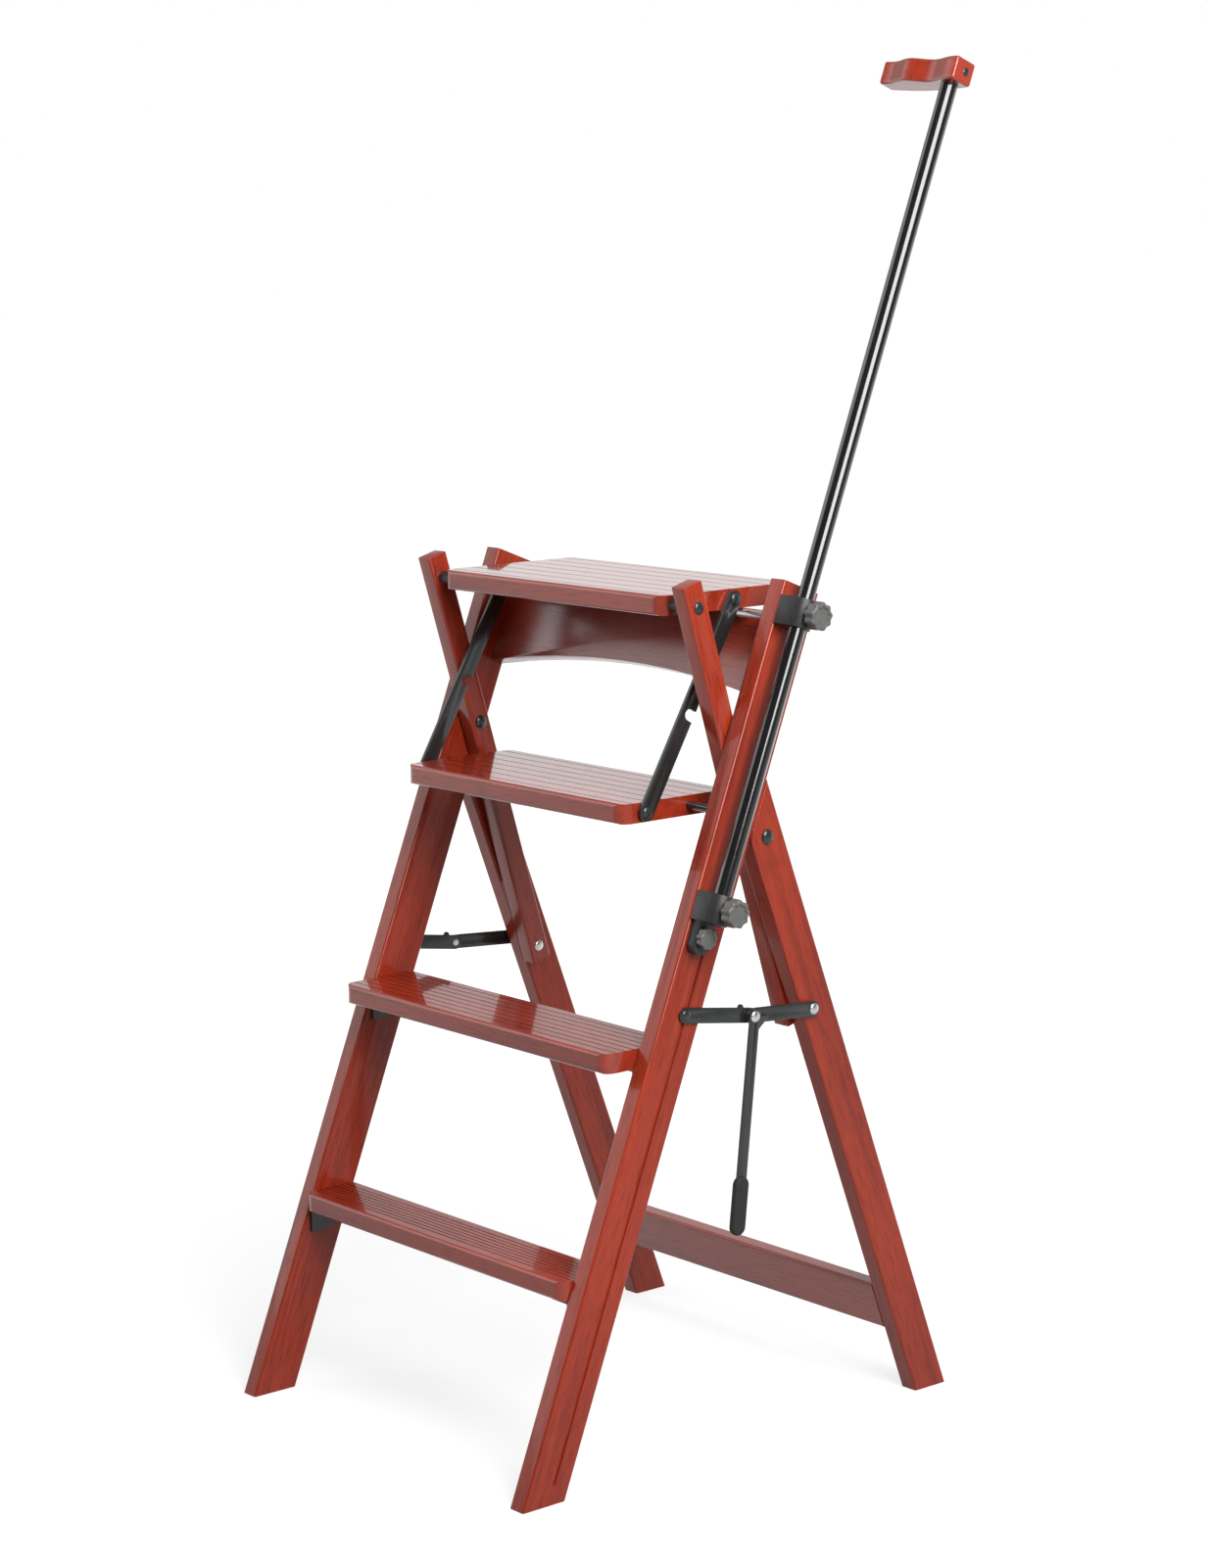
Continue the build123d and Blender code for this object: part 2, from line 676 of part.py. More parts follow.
with BuildPart() as lock_knob:
    lock_at = on_front(lock_knob_at, pole_inset)
    tongue_face = half_width + tongue_thickness
    disc(1, half_width + face_clearance, tongue_face + face_clearance, lock_at, stud_radius)
    disc(1, tongue_face + face_clearance, tongue_face + lock_knob_length, lock_at, lock_knob_radius)
    fillet(lock_knob.faces().sort_by(Axis.X)[-1].edges(), lock_knob_round)
save(lock_knob.part, "pole_lock_knob")

with BuildPart() as pole:
    with BuildSketch(across_front(pole_foot, pole_inset)):
        with Locations((pole_x, 0)):
            Circle(pole_radius)
            Circle(pole_radius - pole_wall, mode=Mode.SUBTRACT)
    extrude(amount=pole_top - pole_foot)
save(pole.part, "pole_tube")

# Grip across the pole's top, waved for the fingers in front and arched behind
grip_start = pole_x + grip_outboard - grip_length
front_wave = [(grip_start + along * grip_length, -out * grip_half) for along, out in grip_front_wave]
grip_end = grip_start + grip_length
grip_rear_end = grip_rear_end_share * grip_half
with BuildPart() as grip:
    with BuildSketch(across_front(grip_low, pole_inset)):
        with BuildLine():
            Spline(*front_wave)
            Line(front_wave[-1], (grip_end, grip_rear_end))
            ThreePointArc((grip_end, grip_rear_end), ((grip_start + grip_end) / 2, grip_half),
                          (grip_start, grip_rear_end))
            Line((grip_start, grip_rear_end), front_wave[0])
        make_face()
    extrude(amount=grip_height)
    fillet(grip.edges(), grip_round)
    with BuildSketch(across_front(grip_low, pole_inset)):
        with Locations((pole_x, 0)):
            Circle(pole_radius)
    extrude(amount=grip_socket, mode=Mode.SUBTRACT)
save(grip.part, "pole_grip")

with BuildPart() as grip_screw:
    grip_centre = on_front(grip_low + grip_height / 2, pole_inset)
    disc(1, grip_end, grip_end + grip_screw_head, grip_centre, grip_screw_radius)
save(grip_screw.part, "grip_screw")
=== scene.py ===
# %% [markdown]
# # A wooden stepladder
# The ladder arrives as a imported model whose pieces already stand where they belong.
# This script gives it its finish: red-brown lacquered boards, black painted fittings and domed fasteners.
# Places are in metres, with Z up and the climbing side towards -Y. Sizes of small pieces are in millimetres.

# %% Load the ladder
import json
from math import atan2, cos, pi, radians, sin

import bmesh
import bpy
from mathutils import Matrix, Vector

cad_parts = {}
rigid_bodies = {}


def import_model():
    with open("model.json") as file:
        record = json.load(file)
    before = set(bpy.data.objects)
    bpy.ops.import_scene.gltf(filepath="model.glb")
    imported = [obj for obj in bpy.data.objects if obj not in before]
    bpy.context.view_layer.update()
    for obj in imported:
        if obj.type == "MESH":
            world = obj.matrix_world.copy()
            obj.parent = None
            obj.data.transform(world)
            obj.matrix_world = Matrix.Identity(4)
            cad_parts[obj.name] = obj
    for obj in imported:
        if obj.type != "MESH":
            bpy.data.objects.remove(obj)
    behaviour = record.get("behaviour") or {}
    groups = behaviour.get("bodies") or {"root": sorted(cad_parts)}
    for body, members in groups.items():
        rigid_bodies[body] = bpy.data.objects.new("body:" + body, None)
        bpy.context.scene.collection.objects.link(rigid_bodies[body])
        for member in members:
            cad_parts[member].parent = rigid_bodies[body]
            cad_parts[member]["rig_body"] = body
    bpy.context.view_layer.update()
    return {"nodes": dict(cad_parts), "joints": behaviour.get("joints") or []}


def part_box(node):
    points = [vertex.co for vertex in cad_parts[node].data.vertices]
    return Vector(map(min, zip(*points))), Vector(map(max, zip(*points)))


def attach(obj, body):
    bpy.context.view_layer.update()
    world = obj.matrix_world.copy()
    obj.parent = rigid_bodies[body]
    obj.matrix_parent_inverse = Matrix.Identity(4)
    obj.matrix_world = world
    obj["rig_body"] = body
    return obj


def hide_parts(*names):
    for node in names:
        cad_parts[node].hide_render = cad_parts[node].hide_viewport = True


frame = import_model()
nodes = frame["nodes"]
joints = {joint["name"]: joint for joint in frame["joints"]}
into_scene = bpy.context.scene.collection.objects.link
millimetre = 0.001

# %% [markdown]
# ## Where the camera stands
# The photograph was taken from in front of the right-hand side, a little above the platform.
# The angles below were found from the feet, treads and pivots, so the view needs no shift of the lens.
# A camera looks along its own -Z, so its matrix has the right, up and backward directions as columns.

# %% Camera
photo_width = 1232
focal_pixels = 3643.8
camera_place = Vector((2.8711, -2.4038, 1.3039))
yaw, pitch, roll = radians(50.017), radians(-9.529), radians(-0.701)

forward = Vector((-sin(yaw) * cos(pitch), cos(yaw) * cos(pitch), sin(pitch)))
level_right = Vector((cos(yaw), sin(yaw), 0))
level_up = level_right.cross(forward)
right = cos(roll) * level_right + sin(roll) * level_up
up = cos(roll) * level_up - sin(roll) * level_right

camera_data = bpy.data.cameras.new("camera")
camera_data.sensor_fit = "HORIZONTAL"
camera_data.sensor_width = 36
camera_data.lens = focal_pixels / photo_width * camera_data.sensor_width
camera = bpy.data.objects.new("camera", camera_data)
camera_turn = Matrix((right, up, -forward)).transposed().to_4x4()
camera.matrix_world = Matrix.Translation(camera_place) @ camera_turn
into_scene(camera)
bpy.context.scene.camera = camera
print("lens:", round(camera_data.lens, 1), "mm")

# %% [markdown]
# ## Values that change over a direction
# The walls and the floor of the studio both ease from one level to another, and both ask what a ray is for.
# Four small helpers add the nodes for that, so the studio itself reads as a few lines.

# %% Helpers for the studio


def distance_along(tree, source, direction):
    """How far a vector reaches along a direction."""
    product = tree.nodes.new("ShaderNodeVectorMath")
    product.operation = "DOT_PRODUCT"
    product.inputs[1].default_value = direction
    tree.links.new(source, product.inputs[0])
    return product.outputs["Value"]


def eased(tree, source, start, end, low, high):
    """A value that eases from low to high while another one goes from start to end."""
    ease = tree.nodes.new("ShaderNodeMapRange")
    ease.interpolation_type = "SMOOTHSTEP"
    for label, value in (("From Min", start), ("From Max", end), ("To Min", low), ("To Max", high)):
        ease.inputs[label].default_value = value
    tree.links.new(source, ease.inputs["Value"])
    return ease.outputs["Result"]


def combined(tree, operation, first, second):
    """Two values joined by a Math node."""
    join = tree.nodes.new("ShaderNodeMath")
    join.operation = operation
    tree.links.new(first, join.inputs[0])
    tree.links.new(second, join.inputs[1])
    return join.outputs[0]


def pick(tree, chooser, low, high):
    """A value that is low where the chooser is 0 and high where it is 1. Each is a number or an output."""
    mix = tree.nodes.new("ShaderNodeMix")
    mix.data_type = "FLOAT"
    tree.links.new(chooser, mix.inputs[0])
    for socket, value in ((mix.inputs[2], low), (mix.inputs[3], high)):
        if isinstance(value, float):
            socket.default_value = value
        else:
            tree.links.new(value, socket)
    return mix.outputs[0]


backdrop_direction = Vector((forward.x, forward.y, 0)).normalized()
print("backdrop lies towards", [round(part, 2) for part in backdrop_direction])

# %% [markdown]
# ## The studio's walls
# The camera sees plain white all round the ladder, and the walls light it evenly at a plain level.
# Lacquer shows what it faces, so in reflections the wall behind is white and the camera's side is dim.
# That leaves pale reflections on the treads and deep colour on the boards that face us.
# The wall darkens upwards, because lower treads are seen more from above and would mirror it too brightly.

# %% World
ambient_level, white, dim_side, wall_top = 0.26, 1.0, 0.06, 0.45

bpy.context.scene.view_settings.view_transform = "Standard"
world = bpy.data.worlds.new("studio")
bpy.context.scene.world = world
world.use_nodes = True
walls = world.node_tree
walls.nodes.clear()
ray = walls.nodes.new("ShaderNodeLightPath").outputs
ray_direction = walls.nodes.new("ShaderNodeTexCoord").outputs["Generated"]

towards_back = distance_along(walls, ray_direction, backdrop_direction)
upwards = distance_along(walls, ray_direction, (0, 0, 1))
backdrop = eased(walls, towards_back, start=-0.25, end=0.35, low=dim_side, high=white)
low_wall = eased(walls, upwards, start=0.16, end=0.26, low=white, high=wall_top)
mirrored = combined(walls, "MAXIMUM", ray["Is Glossy Ray"], ray["Is Transmission Ray"])
indirect = pick(walls, mirrored, ambient_level, combined(walls, "MULTIPLY", backdrop, low_wall))
background = walls.nodes.new("ShaderNodeBackground")
background.inputs["Color"].default_value = (1, 1, 1, 1)
walls.links.new(pick(walls, ray["Is Camera Ray"], indirect, white), background.inputs["Strength"])
walls.links.new(background.outputs[0], walls.nodes.new("ShaderNodeOutputWorld").inputs["Surface"])
print("world lights at", ambient_level)

# %% [markdown]
# ## Lamps
# A large soft lamp on the right, above the platform, draws the long light along the pole.
# A broad weak one fills the front from the left, and a low one lights the back.
# The one behind is kept out of reflections, because the treads would mirror it.

# %% Soft lamps


def soft_lamp(name, place, target, width, height, power):
    """An area lamp that faces a point."""
    data = bpy.data.lights.new(name, "AREA")
    data.shape = "RECTANGLE"
    data.size, data.size_y = width, height
    data.energy = power
    lamp = bpy.data.objects.new(name, data)
    turn = (Vector(target) - Vector(place)).to_track_quat("-Z", "Y").to_matrix().to_4x4()
    lamp.matrix_world = Matrix.Translation(place) @ turn
    into_scene(lamp)
    return lamp


soft_lamp("key_lamp", (1.95, -0.45, 2.2), (0, 0, 0.8), width=1.5, height=2.1, power=100)
soft_lamp("fill_lamp", (-3.0, -2.3, 2.2), (0, 0, 0.7), width=3.0, height=3.0, power=36)
back_lamp = soft_lamp("back_lamp", (-0.4, 3.2, 1.1), (0, 0, 0.7), width=2.6, height=1.6, power=45)
back_lamp.visible_glossy = False
print("lamps:", [lamp.name for lamp in bpy.data.lights])

# %% [markdown]
# ## The floor
# The photograph's ground is plain white, but a ladder with no shadow at all would seem to float.
# The paper glows for the eye and in reflections alone, and less near the feet, where the shadow stays.
# As with the wall, its front part is dimmer in reflections.

# %% Floor sheet
floor_half_width = 30
floor_bm = bmesh.new()
bmesh.ops.create_grid(floor_bm, x_segments=1, y_segments=1, size=floor_half_width)
floor_mesh = bpy.data.meshes.new("floor")
floor_bm.to_mesh(floor_mesh)
floor_bm.free()
floor = bpy.data.objects.new("floor", floor_mesh)
into_scene(floor)
print("floor:", floor.dimensions[:2])

# %% Floor paper
paper_grey = (0.35, 0.35, 0.35, 1)
near_glow, far_glow, front_share = 0.72, 0.95, 0.4

paper = bpy.data.materials.new("studio_paper")
paper.use_nodes = True
tree = paper.node_tree
tree.nodes.clear()
ray = tree.nodes.new("ShaderNodeLightPath").outputs
on_paper = tree.nodes.new("ShaderNodeTexCoord").outputs["Object"]
far = tree.nodes.new("ShaderNodeVectorMath")
far.operation = "LENGTH"
tree.links.new(on_paper, far.inputs[0])

towards_back = distance_along(tree, on_paper, backdrop_direction)
glow = eased(tree, far.outputs["Value"], start=0.3, end=2.2, low=near_glow, high=far_glow)
rear_part = eased(tree, towards_back, start=-0.2, end=1.2, low=front_share, high=white)
mirrored = combined(tree, "MAXIMUM", ray["Is Glossy Ray"], ray["Is Transmission Ray"])
shown = combined(tree, "MAXIMUM", ray["Is Camera Ray"], combined(tree, "MULTIPLY", mirrored, rear_part))
lit = tree.nodes.new("ShaderNodeBsdfDiffuse")
lit.inputs["Color"].default_value = paper_grey
lift = tree.nodes.new("ShaderNodeEmission")
tree.links.new(combined(tree, "MULTIPLY", shown, glow), lift.inputs["Strength"])
both = tree.nodes.new("ShaderNodeAddShader")
tree.links.new(lit.outputs[0], both.inputs[0])
tree.links.new(lift.outputs[0], both.inputs[1])
tree.links.new(both.outputs[0], tree.nodes.new("ShaderNodeOutputMaterial").inputs["Surface"])
floor_mesh.materials.append(paper)
print("paper glows from", near_glow, "to", far_glow)

# %% [markdown]
# ## Grain in the boards
# The boards are a plain hardwood, stained and lacquered, so the grain shows as soft long streaks.
# One node group makes it for every board: broad figure, fine pores and a slow change of tone.
# The group stretches noise along X, and each material turns its board's own length onto X first.

# %% Grain group


def new_group(name, inputs, outputs):
    """An empty node group with named sockets."""
    group = bpy.data.node_groups.new(name, "ShaderNodeTree")
    for label, kind in inputs:
        group.interface.new_socket(name=label, in_out="INPUT", socket_type=kind)
    for label, kind in outputs:
        group.interface.new_socket(name=label, in_out="OUTPUT", socket_type=kind)
    return group, group.nodes.new("NodeGroupInput"), group.nodes.new("NodeGroupOutput")


def streaks(group, source, stretch, detail, low, high):
    """Noise stretched by three scales, spread between two of its values to 0..1."""
    mapping = group.nodes.new("ShaderNodeMapping")
    mapping.inputs["Scale"].default_value = stretch
    group.links.new(source, mapping.inputs["Vector"])
    noise = group.nodes.new("ShaderNodeTexNoise")
    noise.inputs["Scale"].default_value = 1.0
    noise.inputs["Detail"].default_value = detail
    group.links.new(mapping.outputs[0], noise.inputs["Vector"])
    spread = group.nodes.new("ShaderNodeMapRange")
    spread.inputs["From Min"].default_value = low
    spread.inputs["From Max"].default_value = high
    group.links.new(noise.outputs[0], spread.inputs["Value"])
    return spread.outputs["Result"]


grain_layers = {
    "Figure": {"stretch": (4, 110, 110), "detail": 4, "low": 0.3, "high": 0.7},
    "Pores": {"stretch": (35, 1400, 1400), "detail": 2, "low": 0.52, "high": 0.68},
    "Tone": {"stretch": (2.5, 14, 14), "detail": 2, "low": 0.35, "high": 0.65},
}
grain, grain_in, grain_out = new_group("board_grain", [("Vector", "NodeSocketVector")],
                                       [(label, "NodeSocketFloat") for label in grain_layers])
for label, layer in grain_layers.items():
    grain.links.new(streaks(grain, grain_in.outputs["Vector"], **layer), grain_out.inputs[label])
print("grain group:", list(grain_layers))

# %% [markdown]
# ## Stain and lacquer
# The real boards are stained red-brown and sprayed with clear lacquer, which the shader's coat stands for.
# Treads are the glossiest. Boards across the frame have as much lacquer with a softer shine, and arms,
# stiles and legs have less of it. Pores are darker and rougher than the wood between them.
# A little bump from the figure keeps reflections from being too perfect.

# %% Helpers for materials


def new_material(name):
    """A material, its node tree and its shader."""
    material = bpy.data.materials.new(name)
    material.use_nodes = True
    return material, material.node_tree, material.node_tree.nodes["Principled BSDF"]


def blend_colours(tree, chooser, low, high):
    """A colour between two others. Each is a colour or an output of another node."""
    mix = tree.nodes.new("ShaderNodeMix")
    mix.data_type = "RGBA"
    tree.links.new(chooser, mix.inputs[0])
    for socket, value in ((mix.inputs[6], low), (mix.inputs[7], high)):
        if isinstance(value, tuple):
            socket.default_value = (*value, 1)
        else:
            tree.links.new(value, socket)
    return mix.outputs[2]


def spread_to(tree, source, low, high):
    """A 0..1 value spread between two others."""
    spread = tree.nodes.new("ShaderNodeMapRange")
    spread.inputs["To Min"].default_value = low
    spread.inputs["To Max"].default_value = high
    tree.links.new(source, spread.inputs["Value"])
    return spread.outputs["Result"]


def raised(tree, shader, height, strength, distance):
    """Bump from a height, on the shader's normal."""
    bump = tree.nodes.new("ShaderNodeBump")
    bump.inputs["Strength"].default_value = strength
    bump.inputs["Distance"].default_value = distance
    tree.links.new(height, bump.inputs["Height"])
    tree.links.new(bump.outputs[0], shader.inputs["Normal"])


print("materials before the boards:", len(bpy.data.materials))

# %% Stained board
deep_stain, bright_stain = (0.16, 0.014, 0.007), (0.34, 0.032, 0.010)
pore_stain = tuple(0.35 * channel for channel in deep_stain)
pore_share = 0.7
smooth_wood, pore_rough = 0.3, 0.45
wood_specular = 0.25


def turned_to_x(length_direction):
    """The turn that lays a board's length along X."""
    length = Vector(length_direction).normalized()
    width = Vector((0, 1, 0)) if abs(length.x) > 0.5 else Vector((1, 0, 0))
    return Matrix((length, width, length.cross(width))).to_euler()


def stained_board(name, length_direction, lacquer, lacquer_blur):
    """Red-brown stain under clear lacquer, with the grain along one direction."""
    material, tree, shader = new_material(name)
    place = tree.nodes.new("ShaderNodeTexCoord")
    turn = tree.nodes.new("ShaderNodeMapping")
    turn.inputs["Rotation"].default_value = turned_to_x(length_direction)
    tree.links.new(place.outputs["Object"], turn.inputs["Vector"])
    figure = tree.nodes.new("ShaderNodeGroup")
    figure.node_tree = grain
    tree.links.new(turn.outputs[0], figure.inputs["Vector"])
    stain = blend_colours(tree, figure.outputs["Figure"], deep_stain, bright_stain)
    warm = blend_colours(tree, figure.outputs["Tone"], stain, bright_stain)
    pores = spread_to(tree, figure.outputs["Pores"], 0, pore_share)
    tree.links.new(blend_colours(tree, pores, warm, pore_stain), shader.inputs["Base Color"])
    roughness = spread_to(tree, figure.outputs["Pores"], smooth_wood, pore_rough)
    tree.links.new(roughness, shader.inputs["Roughness"])
    shader.inputs["Specular IOR Level"].default_value = wood_specular
    shader.inputs["Coat Weight"].default_value = lacquer
    shader.inputs["Coat Roughness"].default_value = lacquer_blur
    raised(tree, shader, figure.outputs["Figure"], strength=0.12, distance=0.3 * millimetre)
    return material


print("stain from", deep_stain, "to", bright_stain)

# %% Boards and their lengths
half_leg_foot = 23 * millimetre
stile_lean = Vector(joints["handrail_slide"]["axis"])
fold_place = Vector(joints["rear_fold"]["pos_m"])
hinge_place = Vector(joints["platform_lift"]["pos_m"])
leg_lean = Vector((0, fold_place.y - (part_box("rear_leg_right")[1].y - half_leg_foot), fold_place.z))
arm_lean = hinge_place - fold_place
across = Vector((1, 0, 0))
# Each row has the length's direction, the amount of lacquer, its blur and the pieces.
boards = {
    "stile_board": (stile_lean, 0.4, 0.06, ["stile_right", "stile_left"]),
    "leg_board": (leg_lean, 0.4, 0.06, ["rear_leg_right", "rear_leg_left"]),
    "arm_board": (arm_lean, 0.8, 0.15, ["arm_right", "arm_left", "arm_pads"]),
    "cross_board": (across, 1.0, 0.25, ["apron", "rear_crossbar", "pole_grip"]),
    "tread_board": (across, 1.0, 0.06, ["step_1", "step_2", "step_3", "platform"]),
}


def finish_nodes(material, names):
    """Give CAD pieces one material."""
    for name in names:
        nodes[name].data.materials.clear()
        nodes[name].data.materials.append(material)


for board, (length_direction, lacquer, lacquer_blur, names) in boards.items():
    finish_nodes(stained_board(board, length_direction, lacquer, lacquer_blur), names)
    print(board, len(names))

# %% [markdown]
# ## Black fittings and plated fasteners
# Straps, bars, brackets and the pole are steel with black paint: smooth, a little uneven where it flowed.
# Clamps and knobs are moulded plastic with a finely sparked surface, and the sleeve is matt rubber.
# A second group gives all of them a fine unevenness, at a scale that each material sets.

# %% Unevenness group
broad_share = 0.06
uneven, uneven_in, uneven_out = new_group(
    "surface_unevenness", [("Vector", "NodeSocketVector"), ("Scale", "NodeSocketFloat")],
    [("Fine", "NodeSocketFloat"), ("Broad", "NodeSocketFloat")])
for label, share in (("Fine", 1.0), ("Broad", broad_share)):
    scale = uneven.nodes.new("ShaderNodeMath")
    scale.operation = "MULTIPLY"
    scale.inputs[1].default_value = share
    uneven.links.new(uneven_in.outputs["Scale"], scale.inputs[0])
    noise = uneven.nodes.new("ShaderNodeTexNoise")
    noise.inputs["Detail"].default_value = 3
    uneven.links.new(uneven_in.outputs["Vector"], noise.inputs["Vector"])
    uneven.links.new(scale.outputs[0], noise.inputs["Scale"])
    uneven.links.new(noise.outputs[0], uneven_out.inputs[label])
print("unevenness group:", [socket.name for socket in uneven_out.inputs if socket.name])

# %% Paint, plastic, rubber and zinc


def fitting(name, dark, light, rough, scale, bump, metal=0.0, coat=0.0):
    """A finish that varies between two colours and two roughness values."""
    material, tree, shader = new_material(name)
    place = tree.nodes.new("ShaderNodeTexCoord")
    surface = tree.nodes.new("ShaderNodeGroup")
    surface.node_tree = uneven
    surface.inputs["Scale"].default_value = scale
    tree.links.new(place.outputs["Object"], surface.inputs["Vector"])
    tree.links.new(blend_colours(tree, surface.outputs["Broad"], dark, light), shader.inputs["Base Color"])
    tree.links.new(spread_to(tree, surface.outputs["Fine"], *rough), shader.inputs["Roughness"])
    shader.inputs["Metallic"].default_value = metal
    shader.inputs["Coat Weight"].default_value = coat
    shader.inputs["Coat Roughness"].default_value = 0.1
    raised(tree, shader, surface.outputs["Fine"], strength=bump, distance=0.2 * millimetre)
    return material


black_paint = fitting("black_paint", dark=(0.008, 0.009, 0.009), light=(0.022, 0.024, 0.024),
                      rough=(0.22, 0.4), scale=900, bump=0.06, coat=0.4)
pole_paint = fitting("pole_paint", dark=(0.006, 0.006, 0.006), light=(0.014, 0.014, 0.014),
                     rough=(0.1, 0.16), scale=700, bump=0.02, coat=1.0)
black_plastic = fitting("black_plastic", dark=(0.012, 0.012, 0.013), light=(0.03, 0.03, 0.031),
                        rough=(0.35, 0.55), scale=2500, bump=0.25)
# The knobs are the clamps' black plastic drawn a lighter grey: the grey is painted sheen for the light on
# their faces.
knob_plastic_painted_sheen = fitting("knob_plastic_painted_sheen", dark=(0.085, 0.085, 0.082), light=(0.13, 0.13, 0.126),
                       rough=(0.25, 0.4), scale=2200, bump=0.2)
sleeve_rubber = fitting("sleeve_rubber", dark=(0.008, 0.008, 0.008), light=(0.02, 0.02, 0.02),
                        rough=(0.6, 0.8), scale=1800, bump=0.3)
zinc_plate = fitting("zinc_plate", dark=(0.62, 0.63, 0.64), light=(0.78, 0.79, 0.8),
                     rough=(0.22, 0.38), scale=1400, bump=0.05, metal=1.0)

spreader_straps = [f"spreader_{end}_{side}" for end in ("front", "rear") for side in ("right", "left")]
link_bars = ["link_bar_right", "link_bar_left"]
pole_clamps = ["pole_clamp_upper", "pole_clamp_lower"]
brackets = ["step_1_brackets", "step_2_brackets"]
finish_nodes(black_paint, [*brackets, *spreader_straps, "release_bar", *link_bars, "step_3_pins"])
finish_nodes(black_plastic, ["platform_hinge_spacers", *pole_clamps])
finish_nodes(sleeve_rubber, ["release_sleeve"])
print("materials:", len(bpy.data.materials))

# %% [markdown]
# ## Spinning a section
# Turned pieces are drawn as half a section and spun about their own axis, as a lathe would make them.
# Corners stay crisp and all else is smooth, so a dome catches one small round light.
# Each new piece rides on one of the ladder's bodies.

# %% Helpers for new pieces
corner_angle = radians(35)
spin_steps = 32
merge_distance = 0.01 * millimetre


def turned(bm, section, start, run):
    """Spin a section of (distance, radius) pairs in millimetres about a line through a point."""
    side = run.orthogonal().normalized()
    points = [bm.verts.new(start + (run * along + side * radius) * millimetre) for along, radius in section]
    edges = [bm.edges.new(pair) for pair in zip(points, points[1:])]
    bmesh.ops.spin(bm, geom=points + edges, cent=start, axis=run, angle=2 * pi, steps=spin_steps,
                   use_merge=True)


def finished(bm, name, body, slot, material, *stands_for):
    """Make a bmesh a piece on a body, smooth except along its corners."""
    bmesh.ops.remove_doubles(bm, verts=bm.verts, dist=merge_distance)
    bmesh.ops.dissolve_degenerate(bm, edges=bm.edges, dist=merge_distance)
    bmesh.ops.recalc_face_normals(bm, faces=bm.faces)
    for face in bm.faces:
        face.smooth = True
    for edge in bm.edges:
        edge.smooth = edge.calc_face_angle(0) < corner_angle
    mesh = bpy.data.meshes.new(name)
    bm.to_mesh(mesh)
    bm.free()
    mesh.materials.append(material)
    piece = bpy.data.objects.new(name, mesh)
    into_scene(piece)
    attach(piece, body)
    if stands_for:
        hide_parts(*stands_for)
    print(name, "faces:", len(mesh.polygons))


print("steps in a spin:", spin_steps)

# %% [markdown]
# ## Layers across the ladder
# Boards, straps and bars lie side by side, with a small gap between those that move.
# Their places could be typed in again, but measured from the CAD pieces they always fit.

# %% Layers of the ladder
middle = (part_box("stile_left")[0].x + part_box("stile_right")[1].x) / 2
clearance = 0.3
layer_digits = 3


def layer_of(node):
    """Where a right-hand piece starts and ends, in millimetres from the ladder's middle."""
    return [round((corner.x - middle) / millimetre, layer_digits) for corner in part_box(node)]


def axis_of(node):
    """The point of a crosswise axis in the ladder's middle plane, from the box of a node on it."""
    low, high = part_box(node)
    return Vector((middle, (low.y + high.y) / 2, (low.z + high.z) / 2))


stile_inner, stile_outer = layer_of("stile_right")
arm_inner, arm_outer = layer_of("arm_right")
link_inner, link_outer = layer_of("link_bar_right")
front_strap_inner, front_strap_outer = layer_of("spreader_front_right")
rear_strap_inner, rear_strap_outer = layer_of("spreader_rear_right")
release_inner, release_outer = layer_of("release_bar")
tread_side = layer_of("platform")[1]
grip_side = layer_of("pole_grip")[1]
print("stile from", round(stile_inner, 1), "to", round(stile_outer, 1), "mm")

# %% [markdown]
# ## Domed fasteners
# On the real ladder every pivot is a rivet or screw with a low domed head, black or zinc plated.
# A plain disc would do from afar, but only a dome catches a small round light.
# Each section runs outwards through the layers that the fastener holds, with a collar where it has a washer.

# %% Parts of a section


def dome(face, height, radius):
    """Quarter of a flattened circle, from a head's rim to its crown."""
    turns = [step * pi / 8 for step in range(5)]
    return [(face + height * sin(turn), radius * cos(turn)) for turn in turns]


def headed(face, core, height, radius):
    """A shank that ends in a domed head on a face."""
    return [(face, core), *dome(face, height, radius)]


def collar(inner, outer, flange, core):
    """A stretch where the fastener is wider, as at a washer."""
    return [(inner, core), (inner, flange), (outer, flange), (outer, core)]


def blunt(end, radius):
    """A flat end at the start of a section."""
    return [(end, 0), (end, radius)]


bolt, bolt_washer, bolt_crown, bolt_head = 4, 10, 3.5, 8
pin, pin_crown, pin_head = 4, 2.5, 6.5
screw, screw_crown, screw_head = 3, 2, 6
rest_pin, rest_pin_chamfer, rest_pin_reach = 5, 0.8, 7
grip_screw_crown, grip_screw_head, pad_screw_crown = 1.5, 4.5, 1.6
bolt_end = stile_inner + 15
screw_tip = stile_outer - 14
pin_start = tread_side - 30
print("bolts end at", round(bolt_end), "mm")

